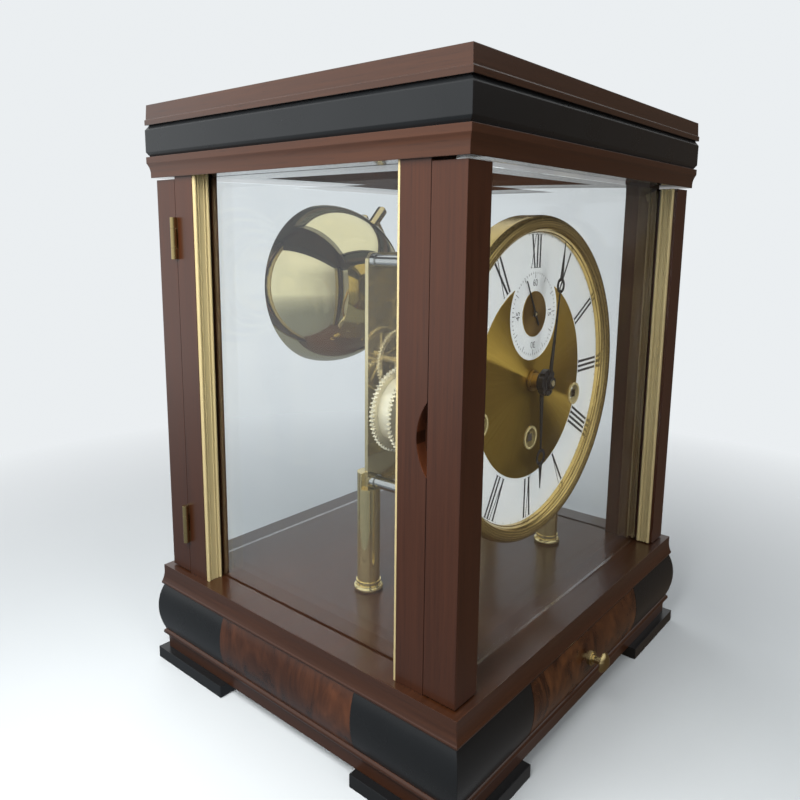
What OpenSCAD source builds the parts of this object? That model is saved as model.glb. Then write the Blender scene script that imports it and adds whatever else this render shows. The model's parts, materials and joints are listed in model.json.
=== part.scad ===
// Chiming table clock with a glazed case, three trains, a nest of bells and a drawer in the plinth.
// Millimetres, +Z up, dial towards -Y, origin under the middle of the feet.

/* [Case] */
// Width over the corner posts
case_w = 231.8; // [190:1:280]
// Depth over the door stiles
case_d = 203.8; // [180:1:250]
// Height of the pad feet
foot_h = 6.7; // [4:0.1:12]
// Side length of each square foot
foot_len = 60.7; // [40:1:75]
// Feet stand out beyond the posts by this much
foot_over = 7.9; // [6:0.1:12]
// Thickness of the bottom board
plinth_h = 11.6; // [9:0.1:18]
// Height of the frieze that holds the drawer
frieze_h = 28.4; // [22:0.1:45]
// Thickness of the board under the glazed case
base_h = 12.6; // [11:0.1:20]
// Height of the corner posts
post_h = 223; // [200:1:260]
// Thickness of the board above the posts
cornice_h = 10.9; // [8:0.1:16]
// Height of the black band
band_h = 16.4; // [10:0.1:25]
// Thickness of the top board
top_h = 10.4; // [7:0.1:16]

/* [Mouldings] */
// Bottom board beyond the posts, below its bead
plinth_over = 3.5; // [2:0.1:4]
// Bead of the bottom board beyond the posts
bead_over = 5.7; // [5:0.1:7]
// Radius of that bead
bead_r = 1.9; // [1:0.1:2.5]
// Frieze beyond the posts at its top and bottom
frieze_over = 4.6; // [3:0.1:5.5]
// Frieze beyond the posts at mid height
bulge_over = 7.4; // [6:0.1:8.5]
// Base board beyond the posts at its top
base_over = 4.2; // [3:0.1:5]
// Nose of the base board beyond the posts
nose_over = 5.6; // [5.2:0.1:7]
// Radius of that nose
nose_r = 1.6; // [1:0.1:2.5]
// Cornice board beyond the posts at its bottom
cornice_foot = 2.1; // [1:0.1:3]
// Cornice board beyond the posts at its top
cornice_over = 3.6; // [3.2:0.1:6]
// Height of the flat fillet at the cornice board's top
cornice_fillet = 3.2; // [2:0.1:4]
// Black band beyond the posts at its edges
band_foot = 1.9; // [0.5:0.1:2.5]
// Black band beyond the posts at its face
band_over = 3.6; // [2.8:0.1:5]
// Height of the band's bevels
band_bevel = 2.5; // [1:0.1:4]
// Top board beyond the posts
top_over = 3.6; // [3:0.1:6]
// Height of the fillet along the top board's lower edge
top_fillet = 2.6; // [1.5:0.1:4]

/* [Glazing] */
// Post width across the front
post_x = 16; // [13:0.5:22]
// Post depth along the side
post_y = 15.4; // [12:0.1:20]
// Depth of the door stiles
stile_t = 16.7; // [14.5:0.1:20]
// Gap between a closed door and the post behind it
door_gap = 0.3; // [0.2:0.1:0.8]
// Gap below a door
door_low = 0.8; // [0.5:0.1:2]
// Gap above a door
door_high = 1.15; // [0.5:0.05:2]
// Full thickness of the glass
glass_t = 4; // [3:0.1:5]
// Thickness of the glass at its bevelled edge
glass_edge = 2.4; // [1.5:0.1:2.8]
// Width of the bevel
glass_bevel = 8; // [5:0.5:15]
// Depth of the glass grooves in the posts
groove_d = 3; // [2:0.1:5]
// Inner face of the glass from the outer face of its post
glass_set = 13; // [12:0.1:13.5]
// Width of the brass strips
strip_w = 9.3; // [7:0.1:9.6]
// Thickness of the brass strips at their beads
strip_t = 1.8; // [1.2:0.1:2.4]
// Door strips start this far behind the door face
strip_in = 1.8; // [0.3:0.1:3]
// Width of the wooden frame round the roof glass
roof_frame = 42; // [25:1:60]
// Roof glass reaches this far under its frame
roof_lap = 6; // [3:0.5:10]
// Length of the finger notch
notch_len = 32; // [24:1:40]
// Reach of the finger notch across the post
notch_y = 5.5; // [4.5:0.1:7]
// Depth of the finger notch from the outer face
notch_x = 6; // [5:0.1:8]
// Height of the notch above the case floor
notch_up = 113; // [90:1:130]

/* [Hinges] */
// Length of a hinge
hinge_len = 22; // [16:1:30]
// Radius of the hinge barrel
hinge_r = 1.6; // [1.4:0.1:2.2]
// Radius of the hinge pin
hinge_pin_r = 0.7; // [0.5:0.05:0.9]
// Thickness of the hinge leaves
leaf_t = 0.8; // [0.6:0.1:1.2]
// Width of the leaves let into the wood
leaf_w = 10; // [7:0.5:12]
// Lower hinge above the case floor
hinge_low = 19.4; // [12:0.5:40]
// Upper hinge below the cornice
hinge_high = 20.9; // [12:0.5:40]
// Length of the middle knuckle
knuckle = 10.2; // [7:0.1:11]

/* [Drawer] */
// Half width of the drawer opening
bay_half = 61.1; // [45:1:70]
// Half length of the burl panel in each side
panel_half = 49; // [35:1:60]
// Thickness of the frieze pieces behind the post faces
frieze_t = 9; // [7:0.5:12]
// Gap around the drawer front
drawer_gap = 0.4; // [0.3:0.05:0.8]
// Length of the drawer box
drawer_len = 150; // [110:1:158]
// Wall thickness of the drawer box
drawer_wall = 5; // [3:0.5:7]
// Thickness of the walls the drawer runs between
bay_wall = 10; // [6:0.5:14]
// Knob axis above the bottom board
knob_up = 13.2; // [11:0.1:17]
// Radius of the knob's head
knob_r = 5.3; // [4.5:0.1:7]
// Length of the knob
knob_len = 10.2; // [9:0.1:14]

/* [Movement] */
// Dial centre above the middle of the posts
dial_up = 6; // [0:0.5:7]
// Movement plates reach this far below the dial centre
plate_drop = 58.8; // [57:0.1:61]
// Half width of the movement plates
plate_half = 64; // [62:0.5:70]
// Height of the movement plates
plate_h = 126.3; // [122:0.1:130]
// Thickness of the movement plates
plate_t = 2.2; // [1.8:0.1:4]
// Cut-off corners at the top of the plates
plate_cut = 3; // [1:0.1:5]
// Middle of the front plate, measured back from the case middle
front_y = -46.4; // [-50:0.1:-46]
// Middle of the rear plate, measured back from the case middle
rear_y = -5; // [-6:0.1:-4.5]
// Radius of the turned columns
column_r = 6.3; // [5:0.05:7.2]
// Column axes from the middle of the case
column_x = 60.5; // [58:0.5:62]
// Column axes outside the middle of their plates
column_off = 1.3; // [0:0.1:2]
// Height of the lug that stands up behind the plate
column_lug = 9; // [7:0.5:11]
// Running clearance of the arbors, on the radius
run = 0.05; // [0.03:0.01:0.08]

/* [Dial] */
// Plane of the dial face
dial_y = -65.8; // [-67:0.1:-65]
// Thickness of the dial plate
dial_t = 1.5; // [1:0.1:2]
// Outer radius of the bezel
bezel_r = 87.3; // [85:0.1:90]
// Inner radius of the bezel
sight_r = 78.5; // [77:0.1:80]
// Radius of the gold centre disc
disc_r = 53.4; // [52:0.1:56]
// Thickness of the gold discs
disc_t = 0.4; // [0.2:0.05:0.6]
// Seconds axis above the dial centre
seconds_up = 35.8; // [34.8:0.1:36.2]
// Radius of the seconds ring
seconds_r = 24.7; // [22:0.1:26]
// Radius of the small disc inside the seconds ring
small_disc_r = 12.1; // [9:0.1:14]
// Side winding holes from the dial centre, across
wind_x = 49.5; // [46:0.1:50.5]
// Side winding holes below the dial centre
wind_down = 15.3; // [14.3:0.1:16]
// Lower winding hole below the dial centre
wind_low = 31.8; // [31.3:0.1:32.3]
// Outer radius of the winding ferrules
ferrule_r = 6.5; // [6:0.1:7]
// Bore radius of the winding ferrules
ferrule_bore = 5.2; // [4.5:0.1:5.4]
// Length of the minute hand
minute_len = 74.7; // [70:0.1:76]
// Length of the hour hand
hour_len = 60; // [54:0.1:61]
// Length of the seconds hand
second_len = 20.4; // [17:0.1:22]
// Minute hand, degrees after XII
minute_at = 8.1; // [0:0.1:360]
// Hour hand, degrees after XII
hour_at = 177.8; // [0:0.1:360]
// Seconds hand, degrees after 60
second_at = 330.5; // [0:0.1:360]

/* [Bells] */
// Bell axis left of the dial centre
bell_x = -40; // [-42:0.5:-38]
// Bell axis above the dial centre
bell_up = 47.6; // [44:0.1:50]
// Radius of the largest bell
bell_r = 45.4; // [43:0.1:46.5]
// Each smaller bell loses this much radius
bell_step = 6.8; // [6:0.1:7]
// Rim of the largest bell behind the case middle
bell_rim = 50; // [49:0.1:51]
// Each smaller bell's rim lies this much further back
rim_step = 8; // [7.8:0.1:8.4]
// Wall thickness of the bells
bell_t = 2.2; // [1.6:0.1:2.6]
// Radius of the bell stud
stud_r = 2.5; // [2:0.1:3]
// Hammer rest gap to its bell
strike_gap = 1; // [0.8:0.1:1.5]
// Length of a hammer head
hammer_len = 15; // [9:0.5:16]
// Radius of a hammer head
hammer_r = 3.2; // [2:0.1:3.4]

/* [Hidden] */
$fn = 48;
hw = case_w / 2;
hd = case_d / 2;
z_plinth = foot_h;
z_frieze = z_plinth + plinth_h;
z_base = z_frieze + frieze_h;
z_floor = z_base + base_h;
z_cornice = z_floor + post_h;
z_band = z_cornice + cornice_h;
z_top = z_band + band_h;
z_roof = z_top + top_h;
// Plane between the posts and the door stiles
seam = hd - stile_t;
jamb_x = hw - post_x;
jamb_y = seam - post_y;
door_z0 = z_floor + door_low;
door_z1 = z_cornice - door_high;
hinge_x = hw + hinge_r + 0.3;
hinge_z = [z_floor + hinge_low, z_cornice - hinge_high - hinge_len];
bay_y = hd - frieze_t;
drawer_half = bay_half - drawer_gap;
box_half = bay_half - 2.3;
knob_z = z_frieze + knob_up;
knob_seat = -hd - bulge_over + 0.3;
mid_shift = (knob_len - knob_seat - hd - foot_over) / 2;

// Movement planes, front and back faces of each layer
dial_z = z_floor + post_h / 2 + dial_up;
plate_z = dial_z - plate_drop;
column_h = plate_z + column_lug - z_floor;
front_out = front_y - plate_t / 2;
front_in = front_y + plate_t / 2;
rear_in = rear_y - plate_t / 2;
rear_out = rear_y + plate_t / 2;
pillar_x = plate_half - 4.5;
pillar_z = [plate_z + 4, plate_z + plate_h - 4.2];
pillar_r = 3.3;
arbor_r = 1.5;
wind_r = 3;
pivot_r = 0.8;

// Teeth: wheel and pinion of each pair share a module worked out from their distance
leaves = 8;
great_z = 64;
side_z = 60;
centre_z = 64;
third_z = 60;
inter_z = 48;
fourth_z = 48;
upper_z = 60;
cannon_z = 12;
minute_z = 36;
minute_leaves = 10;
hour_z = 40;
transfer_z = 28;
great_m = 0.625;
inter_m = 0.72;
train_m = 0.55;
fourth_m = 0.5;
side_m = 0.746;
upper_m = 0.575;
motion_dist = 16;
cannon_m = 2 * motion_dist / (cannon_z + minute_z);
hour_m = 2 * motion_dist / (minute_leaves + hour_z);

// Arbor places in the plane of the plates, as [x, z]
centre_at = [0, dial_z];
fourth_at = [0, dial_z + seconds_up];
time_at = [0, dial_z - wind_low];
strike_at = [-wind_x, dial_z - wind_down];
chime_at = [wind_x, dial_z - wind_down];
third_at = apex(centre_at, fourth_at, pair(train_m, centre_z, leaves), pair(train_m, third_z, leaves), 1);
inter_at = apex(time_at, centre_at, pair(great_m, great_z, leaves), pair(inter_m, inter_z, leaves), 1);
escape_at = fourth_at + pair(fourth_m, fourth_z, leaves) * [0.714, 0.7];
pallet_at = escape_at + [10, 4];
balance_at = pallet_at + [13, 5];
minute_wheel_at = centre_at + [motion_dist, 0];
upper_lean = 8;
strike_wheel_at = strike_at + pair(side_m, side_z, leaves) * [sin(upper_lean), cos(upper_lean)];
chime_wheel_at = chime_at + pair(side_m, side_z, leaves) * [-sin(upper_lean), cos(upper_lean)];
drum_x = 30;
drum_up = 28.2;
drum_at = [drum_x, dial_z + drum_up];
transfer_m = 2 * norm(drum_at - chime_wheel_at) / (2 * transfer_z);
hammer_x = 22;
hammer_up = 53.2;
hammer_at = [hammer_x, dial_z + hammer_up];
bell_at = [bell_x, dial_z + bell_up];
plate_holes = [centre_at, third_at, inter_at, strike_wheel_at, chime_wheel_at];
fine_holes = [fourth_at, escape_at, pallet_at, balance_at];
wind_holes = [time_at, strike_at, chime_at];

// Bells from the largest to the smallest, one hammer each
bell_n = 4;
function bell_radius(i) = bell_r - i * bell_step;
function bell_centre(i) = bell_rim + i * rim_step;
function bell_crown(i) = bell_centre(i) - bell_radius(i);
function hammer_y(i) = bell_centre(i) - (i == 0 ? 6 : rim_step / 2);
strike_angle = 45;
drum_r = 8;
drum_pin = 1.5;
tail_gap = 0.4;
frame_y = bell_centre(bell_n - 1) + 1;
frame_t = 2.5;

function pair(m, a, b) = m * (a + b) / 2;
// Point at distance ra from a and rb from b, on the right of a to b when side is 1
function apex(a, b, ra, rb, side) =
    let (d = norm(b - a), e = (b - a) / d)
    let (s = (ra * ra - rb * rb + d * d) / (2 * d))
    a + e * s + side * sqrt(ra * ra - s * s) * [e[1], -e[0]];
function bearing(a, b) = atan2(b[1] - a[1], b[0] - a[0]);
// Phase of gear b so that its gaps meet the teeth of gear a
function meshed(a, b, za, zb, phase) =
    let (t = bearing(a, b))
    t + 180 + 180 / zb - (phase - t) * za / zb;
function polar(r, a) = [r * cos(a), r * sin(a)];
// Straight sided teeth: root and tip widths are shares of a quarter pitch
function toothed(z, m, phase, add, root, tip) = [
    for (i = [0 : z - 1])
        for (p = [[-1.25, -root], [add, -tip], [add, tip], [-1.25, root]])
            polar(m * (z / 2 + p[0]), phase + (360 * i + 90 * p[1]) / z)
];
function wheel_points(z, m, phase) = toothed(z, m, phase, 0.7, 1.35, 0.42);
function leaf_points(z, m, phase) = toothed(z, m, phase, 0.9, 0.85, 0.4);
function mirrored(right) = concat(right, [
    for (i = [len(right) - 1 : -1 : 0])
        [-right[i][0], right[i][1]]
]);

// Helpers

// Moves the case back so that the knob and the rear feet lie equally far from the origin
module centred() {
    translate([0, mid_shift, 0])
        children();
}

module along_x(len) {
    rotate([90, 0, 90])
        linear_extrude(height = len, center = true)
            children();
}

module along_y(len) {
    rotate([90, 0, 0])
        linear_extrude(height = len, center = true)
            children();
}

// Extrudes a drawing of the front view between two depths
module layer(at, y0, y1) {
    translate([at[0], y1, at[1]])
        rotate([90, 0, 0])
            linear_extrude(height = y1 - y0)
                children();
}

module rod(at, r, y0, y1) {
    translate([at[0], y0, at[1]])
        rotate([-90, 0, 0])
            cylinder(h = y1 - y0, r = r);
}

// Turns a profile of [radius, depth] about an axis along Y
module turned(at) {
    translate([at[0], 0, at[1]])
        rotate([-90, 0, 0])
            rotate_extrude()
                children();
}

module corner(sx, sy) {
    mirror([sx < 0 ? 1 : 0, 0, 0])
        mirror([0, sy < 0 ? 1 : 0, 0])
            children();
}

module slab(x0, x1, y0, y1, z0, z1) {
    translate([x0, y0, z0])
        cube([x1 - x0, y1 - y0, z1 - z0]);
}

module both_sides() {
    children();
    mirror([1, 0])
        children();
}

// Hollow edge that leaves x_in square at z_in and ends at x_out
module cove(x_in, x_out, z_in, z_out) {
    h = abs(z_out - z_in);
    w = x_out - x_in;
    r = (h * h + w * w) / (2 * w);
    difference() {
        translate([0, min(z_in, z_out)])
            square([x_out, h]);
        translate([x_in + r, z_in])
            circle(r = r, $fn = 96);
    }
}

// Edge profiles, for a board that reaches h from the middle

module plinth_2d(h) {
    bead_z = z_frieze - bead_r;
    both_sides() {
        translate([0, z_plinth])
            square([h + plinth_over, plinth_h]);
        cove(h + plinth_over, h + bead_over - bead_r, z_plinth + plinth_h * 0.35, bead_z - bead_r * 0.9);
        translate([0, bead_z - bead_r])
            square([h + bead_over - bead_r, 2 * bead_r]);
        translate([h + bead_over - bead_r, bead_z])
            circle(r = bead_r);
    }
}

module frieze_2d(h) {
    sag = bulge_over - frieze_over;
    r = (frieze_h * frieze_h / 4 + sag * sag) / (2 * sag);
    both_sides() {
        translate([0, z_frieze])
            square([h, frieze_h]);
        intersection() {
            translate([h + bulge_over - r, z_frieze + frieze_h / 2])
                circle(r = r, $fn = 96);
            translate([h - frieze_t, z_frieze])
                square([frieze_t + bulge_over + 1, frieze_h]);
        }
    }
}

module base_2d(h) {
    both_sides() {
        translate([0, z_base])
            square([h + base_over, base_h]);
        translate([0, z_base])
            square([h + nose_over - nose_r, 2 * nose_r]);
        translate([h + nose_over - nose_r, z_base + nose_r])
            circle(r = nose_r);
        cove(h + base_over, h + nose_over - 0.2, z_floor - 3.5, z_base + nose_r * 1.4);
    }
}

module cornice_2d(h) {
    both_sides() {
        translate([0, z_cornice])
            square([h + cornice_foot, cornice_h]);
        translate([0, z_band - cornice_fillet])
            square([h + cornice_over, cornice_fillet]);
        cove(h + cornice_foot, h + cornice_over, z_cornice + 2, z_band - cornice_fillet);
    }
}

module band_2d(h) {
    polygon(mirrored([
        [h + band_foot, z_band],
        [h + band_over, z_band + band_bevel],
        [h + band_over, z_top - band_bevel],
        [h + band_foot, z_top]
    ]));
}

module top_2d(h) {
    polygon(mirrored([
        [h + top_over, z_top],
        [h + top_over, z_top + top_fillet],
        [h + top_over - 0.5, z_top + top_fillet + 0.4],
        [h + top_over - 0.9, z_roof]
    ]));
}

module profile(kind, h) {
    if (kind == "plinth") plinth_2d(h);
    if (kind == "frieze") frieze_2d(h);
    if (kind == "base") base_2d(h);
    if (kind == "cornice") cornice_2d(h);
    if (kind == "band") band_2d(h);
    if (kind == "top") top_2d(h);
}

// A board with the same moulding on all four edges, mitred at the corners
module moulded(kind) {
    intersection() {
        along_y(3 * case_d)
            profile(kind, hw);
        along_x(3 * case_w)
            profile(kind, hd);
    }
}

// Case

module feet() {
    centred() color("#1d2024")
        for (sx = [-1, 1])
            for (sy = [-1, 1])
                corner(sx, sy)
                    translate([hw + foot_over - foot_len, hd + foot_over - foot_len, 0])
                        cube([foot_len, foot_len, foot_h]);
}

module bottom_board() {
    centred() color("#5a3a2a")
        moulded("plinth");
}

module corner_blocks() {
    centred() color("#1d2024")
        difference() {
            moulded("frieze");
            slab(-bay_half, bay_half, -case_d, case_d, 0, z_roof);
            slab(-case_w, case_w, -panel_half, panel_half, 0, z_roof);
            slab(frieze_t - hw, hw - frieze_t, -bay_y, bay_y, 0, z_roof);
        }
}

module burl_panels() {
    centred() color("#7a4a2c") {
        for (sx = [-1, 1])
            intersection() {
                moulded("frieze");
                corner(sx, 1)
                    slab(hw - frieze_t, case_w, -panel_half, panel_half, 0, z_roof);
            }
        intersection() {
            moulded("frieze");
            slab(-bay_half, bay_half, bay_y, case_d, 0, z_roof);
        }
    }
}

module drawer_bay() {
    wall_in = bay_half + drawer_gap;
    stop_y = drawer_len - bay_y + 4;
    centred() color("#4b3226") {
        for (sx = [-1, 1])
            corner(sx, 1)
                slab(wall_in, wall_in + bay_wall, -bay_y, bay_y, z_frieze, z_base);
        slab(-wall_in - 1, wall_in + 1, stop_y, stop_y + bay_wall, z_frieze, z_base);
    }
}

module base_board() {
    centred() color("#5a3a2a")
        moulded("base");
}

module leaf_pocket(y0) {
    for (z = hinge_z)
        slab(hw - leaf_w, hw + 1, y0, y0 + leaf_t, z, z + hinge_len);
}

module corner_post(hinged) {
    notch_r = (notch_len * notch_len / 4 + notch_y * notch_y) / (2 * notch_y);
    difference() {
        slab(jamb_x, hw, jamb_y, seam - door_gap / 2, z_floor, z_cornice);
        slab(hw - glass_set, hw - glass_set + glass_edge, jamb_y - 1, jamb_y + groove_d, 0, z_roof);
        if (hinged)
            leaf_pocket(seam - door_gap / 2 - leaf_t);
        else
            translate([hw - notch_x, seam - notch_y + notch_r, z_floor + notch_up])
                rotate([0, 90, 0])
                    cylinder(h = 2 * notch_x, r = notch_r);
    }
}

module corner_posts() {
    centred() color("#5a3a2a") {
        corner(-1, 1) corner_post(true);
        corner(1, -1) corner_post(true);
        corner(-1, -1) corner_post(false);
        corner(1, 1) corner_post(false);
    }
}

// Pane seen edge on: the outer face bevels down to the thin edge
module pane_2d(half, sight) {
    polygon(mirrored([
        [half, 0],
        [half, glass_edge],
        [sight, glass_edge],
        [sight - glass_bevel, glass_t],
    ]));
}

// A pane between two jambs, lying flat with its outer face up
module pane(half_w, z0, z1) {
    intersection() {
        linear_extrude(height = z1)
            pane_2d(half_w + groove_d, half_w);
        translate([0, 0, (z0 + z1) / 2])
            along_x(4 * half_w)
                rotate(90)
                    mirror([0, 1])
                        pane_2d((z1 - z0) / 2, (z1 - z0) / 2 - 0.01);
    }
}

// Square hole down through the roof boards, widened by lap
module roof_light(lap, z0, z1) {
    x = hw - roof_frame + lap;
    y = hd - roof_frame + lap;
    slab(-x, x, -y, y, z0, z1);
}

module case_glass() {
    centred() color("#dfe8ea", 0.3) {
        for (a = [90, -90])
            rotate(a)
                translate([0, hw - glass_set, 0])
                    pane(jamb_y, z_floor, z_cornice);
        roof_light(roof_lap, z_top, z_top + glass_t);
    }
}

// Reeded strip, flat on its jamb: a bead along each edge
module strip(w, len) {
    bead = strip_t / 2;
    linear_extrude(height = len) {
        square([w, bead]);
        translate([bead, bead])
            circle(r = bead);
        translate([w - bead, bead])
            circle(r = bead);
        translate([3.2 * bead, bead])
            circle(r = bead * 0.45);
        translate([w - 3.2 * bead, bead])
            circle(r = bead * 0.45);
    }
}

module side_strips() {
    centred() color("#c9a24a")
        for (sx = [-1, 1])
            for (sy = [-1, 1])
                corner(sx, sy)
                    translate([hw - 0.3 - strip_w, jamb_y, z_floor])
                        mirror([0, 1, 0])
                            strip(strip_w, post_h);
}

module cornice_board() {
    centred() color("#5a3a2a")
        difference() {
            moulded("cornice");
            roof_light(0, 0, z_roof);
        }
}

module cornice_band() {
    centred() color("#1d2024")
        difference() {
            moulded("band");
            roof_light(0, 0, z_roof);
        }
}

module top_board() {
    centred() color("#5a3a2a")
        difference() {
            moulded("top");
            roof_light(0, 0, z_roof + 1);
            roof_light(roof_lap, 0, z_top + glass_t);
        }
}

// Barrel of a hinge between two heights, tied to its leaf
module knuckle_of(z0, z1, leaf_y) {
    translate([hinge_x, seam, z0])
        cylinder(h = z1 - z0, r = hinge_r);
    slab(hw - 1, hinge_x, leaf_y, leaf_y + leaf_t, z0, z1);
}

module post_hinge(z) {
    leaf_y = seam - door_gap / 2 - leaf_t;
    end = (hinge_len - knuckle) / 2 - 0.1;
    slab(hw - leaf_w, hw, leaf_y, leaf_y + leaf_t, z, z + hinge_len);
    knuckle_of(z, z + end, leaf_y);
    knuckle_of(z + hinge_len - end, z + hinge_len, leaf_y);
    translate([hinge_x, seam, z])
        cylinder(h = hinge_len, r = hinge_pin_r);
}

module door_hinge(z) {
    leaf_y = seam + door_gap / 2;
    mid = z + hinge_len / 2;
    difference() {
        union() {
            slab(hw - leaf_w, hw, leaf_y, leaf_y + leaf_t, z, z + hinge_len);
            knuckle_of(mid - knuckle / 2, mid + knuckle / 2, leaf_y);
        }
        translate([hinge_x, seam, z])
            cylinder(h = hinge_len, r = hinge_pin_r + run);
    }
}

module post_hinges() {
    centred() color("#b58f3f")
        for (s = [-1, 1])
            for (z = hinge_z)
                corner(s, -s)
                    post_hinge(z);
}

// Doors: two stiles joined by the pane itself, without rails

module stile(hinged) {
    difference() {
        slab(jamb_x, hw, seam + door_gap / 2, hd, door_z0, door_z1);
        slab(jamb_x - 1, jamb_x + groove_d, hd - glass_set, hd - glass_set + glass_edge, 0, z_roof);
        if (hinged)
            leaf_pocket(seam + door_gap / 2);
    }
}

module door_stiles(side) {
    centred() color("#5a3a2a") {
        corner(-side, side) stile(true);
        corner(side, side) stile(false);
    }
}

module door_glass(side) {
    centred() color("#dfe8ea", 0.3)
        corner(1, side)
            translate([0, hd - glass_set, 0])
                pane(jamb_x, door_z0, door_z1);
}

module door_strips(side) {
    centred() color("#c9a24a")
        for (sx = [-1, 1])
            corner(sx, side)
                translate([jamb_x, hd - 0.3 - strip_w, door_z0])
                    rotate(90)
                        strip(strip_w + 0.3 - strip_in, door_z1 - door_z0);
}

module door_hinges(side) {
    centred() color("#b58f3f")
        for (z = hinge_z)
            corner(-side, side)
                door_hinge(z);
}

module front_stiles() { door_stiles(-1); }
module front_glass() { door_glass(-1); }
module front_strips() { door_strips(-1); }
module front_hinges() { door_hinges(-1); }
module rear_stiles() { door_stiles(1); }
module rear_glass() { door_glass(1); }
module rear_strips() { door_strips(1); }
module rear_hinges() { door_hinges(1); }

// Drawer

module drawer_front() {
    centred() color("#7a4a2c")
        difference() {
            intersection() {
                moulded("frieze");
                slab(-drawer_half, drawer_half, -case_d, -bay_y,
                    z_frieze + drawer_gap, z_base - drawer_gap);
            }
            rod([0, knob_z], 4, -case_d, knob_seat);
        }
}

module drawer_box() {
    z0 = z_frieze + drawer_gap;
    z1 = z_base - 6;
    centred() color("#6b4a35")
        difference() {
            slab(-box_half, box_half, -bay_y, drawer_len - bay_y, z0, z1);
            slab(drawer_wall - box_half, box_half - drawer_wall,
                drawer_wall - bay_y, drawer_len - bay_y - drawer_wall, z0 + 4, z_base);
        }
}

module drawer_knob() {
    centred() color("#c9a24a")
        translate([0, knob_seat, knob_z])
            rotate([90, 0, 0])
                rotate_extrude() {
                    square([4, 1.2]);
                    translate([0, 1.2])
                        square([3.2, 0.8]);
                    square([1.9, knob_len - 2]);
                    intersection() {
                        translate([0, knob_len - 6.5])
                            circle(r = 6.5);
                        translate([0, knob_len - 3.4])
                            square([knob_r, 4]);
                    }
                }
}

// Movement frame

// Each column's top is cut away so that the plate rests on it against a lug on the outer side
module support_columns() {
    centred() color("#c9a24a")
        for (sx = [-1, 1])
            for (sy = [-1, 1])
                difference() {
                    translate([sx * column_x, (sy < 0 ? front_y : rear_y) + sy * column_off, z_floor])
                        rotate_extrude() {
                            square([column_r, column_h]);
                            square([column_r + 0.9, 3.2]);
                            translate([column_r + 0.3, 1.6])
                                circle(r = 1.6);
                            translate([0, 4.6])
                                square([column_r + 0.6, 1]);
                        }
                    if (sy < 0)
                        slab(-case_w, case_w, front_out, 0, plate_z, z_roof);
                    else
                        slab(-case_w, case_w, -hd, rear_out, plate_z, z_roof);
                }
}

module plate(y) {
    difference() {
        layer([0, plate_z], y - plate_t / 2, y + plate_t / 2)
            polygon(mirrored([
                [plate_half, 0],
                [plate_half, plate_h - plate_cut],
                [plate_half - plate_cut, plate_h]
            ]));
        for (p = plate_holes)
            rod(p, arbor_r + run, y - plate_t, y + plate_t);
        for (p = fine_holes)
            rod(p, pivot_r + run, y - plate_t, y + plate_t);
        for (p = wind_holes)
            rod(p, wind_r + run, y - plate_t, y + plate_t);
    }
}

module front_plate() {
    centred() color("#cda85a") {
        plate(front_y);
        rod(minute_wheel_at, arbor_r, front_out - 9.6, front_out + 0.5);
    }
}

module rear_plate() {
    centred() color("#cda85a")
        difference() {
            plate(rear_y);
            rod(drum_at, arbor_r + run, rear_y - plate_t, rear_y + plate_t);
        }
}

module plate_pillars() {
    centred() color("#c3c6c8")
        for (sx = [-1, 1])
            for (z = pillar_z) {
                rod([sx * pillar_x, z], pillar_r, front_in, rear_in);
                rod([sx * pillar_x, z], pillar_r + 0.8, front_in, front_in + 3);
                rod([sx * pillar_x, z], pillar_r + 0.8, rear_in - 3, rear_in);
            }
}

// Dial

module dial_plate() {
    feet = [[-52, 35], [52, 35], [-42, -46], [42, -46]];
    centred() color("#f4f2ea")
        difference() {
            union() {
                rod(centre_at, sight_r + 5, dial_y, dial_y + dial_t);
                for (p = feet)
                    rod(centre_at + p, 2, dial_y + dial_t, front_out);
            }
            rod(centre_at, wind_r + 0.5, dial_y - 1, dial_y + dial_t + 1);
            rod(fourth_at, 1.6, dial_y - 1, dial_y + dial_t + 1);
            for (p = wind_holes)
                rod(p, ferrule_r - 0.5, dial_y - 1, dial_y + dial_t + 1);
        }
}

module bezel() {
    centred() color("#d0a94e")
        turned(centre_at)
            difference() {
                union() {
                    translate([sight_r, dial_y - 2.2])
                        square([bezel_r - sight_r, 2.2]);
                    translate([bezel_r - 2.6, dial_y - 1])
                        square([2.6, 8]);
                    translate([sight_r + 4.6, dial_y - 2.6])
                        circle(r = 4.2);
                }
                translate([sight_r - 1, dial_y])
                    square([bezel_r - 2.6 - sight_r + 1, 20]);
                translate([bezel_r, dial_y - 20])
                    square([10, 40]);
            }
}

module centre_disc() {
    centred() color("#d8b45e") {
        difference() {
            rod(centre_at, disc_r, dial_y - disc_t, dial_y);
            rod(centre_at, wind_r + 0.5, dial_y - 2, dial_y + 1);
            rod(fourth_at, seconds_r, dial_y - 2, dial_y + 1);
            for (p = wind_holes)
                rod(p, ferrule_r, dial_y - 2, dial_y + 1);
        }
        difference() {
            rod(fourth_at, small_disc_r, dial_y - disc_t, dial_y);
            rod(fourth_at, 1.6, dial_y - 2, dial_y + 1);
        }
    }
}

module winding_ferrules() {
    centred() color("#d0a94e")
        for (p = wind_holes)
            difference() {
                union() {
                    rod(p, ferrule_r, dial_y - 1.2, dial_y);
                    rod(p, ferrule_r - 0.5, dial_y - 0.5, dial_y + dial_t + 1);
                }
                rod(p, ferrule_bore, dial_y - 5, dial_y + 5);
            }
}

// Pointer along the twelve o'clock line with an open ring part of the way out
module pointer_2d(hub, ring_at, ring_r, len, width) {
    difference() {
        union() {
            circle(r = hub);
            polygon(mirrored([[width, 0], [width * 0.55, ring_at - ring_r * 0.8]]));
            translate([0, ring_at])
                circle(r = ring_r);
            polygon([[-width, ring_at + ring_r * 0.7], [width, ring_at + ring_r * 0.7], [0, len]]);
        }
        translate([0, ring_at])
            circle(r = ring_r * 0.62);
    }
}

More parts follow.
